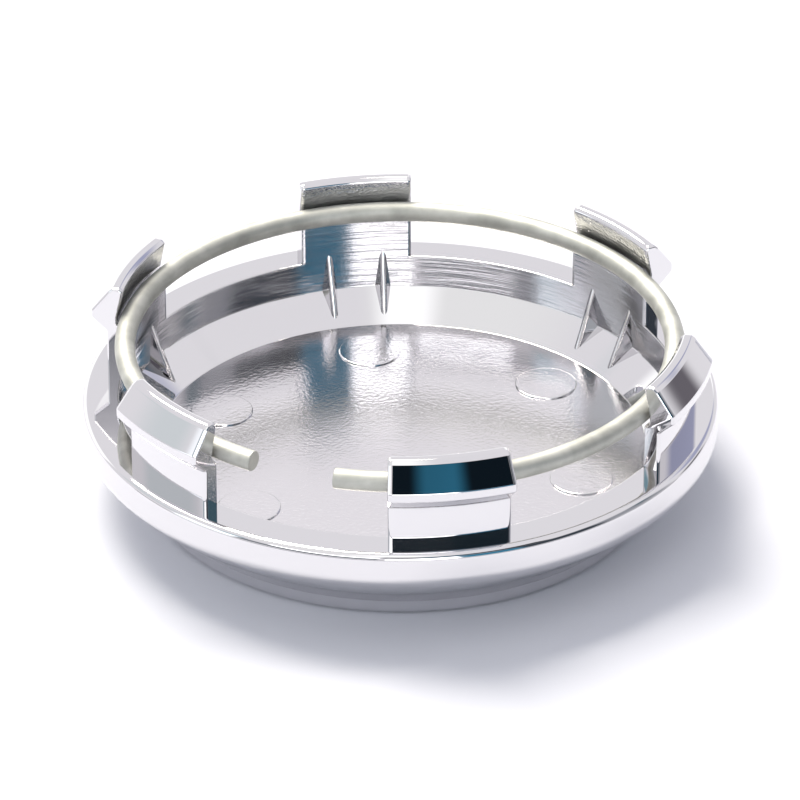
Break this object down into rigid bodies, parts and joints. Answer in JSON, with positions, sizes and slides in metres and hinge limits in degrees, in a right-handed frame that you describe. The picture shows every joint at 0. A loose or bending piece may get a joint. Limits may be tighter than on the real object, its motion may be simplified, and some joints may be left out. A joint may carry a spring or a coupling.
{
  "type": "wheel centre cap",
  "caption": "Round wheel centre cap shown back up: a chromed cup with barbed snap clips, and an open spring wire ring that seats in them.",
  "frame": {"origin": "on the cap's axis, in the plane that the bead of the face rests on", "axes": "+Z along the cap's axis from the face towards the wheel side, -Y through the middle of the first snap clip, +X to the right of it"},
  "size_m": [0.075, 0.075, 0.0232],
  "materials": {
    "chromed_abs": "bright decorative chrome plate on moulded ABS",
    "spring_wire": "dull galvanised spring steel wire"
  },
  "bodies": {
    "root": {"cap_shell": "chromed_abs", "retaining_ring": "spring_wire"}
  },
  "joints": []
}
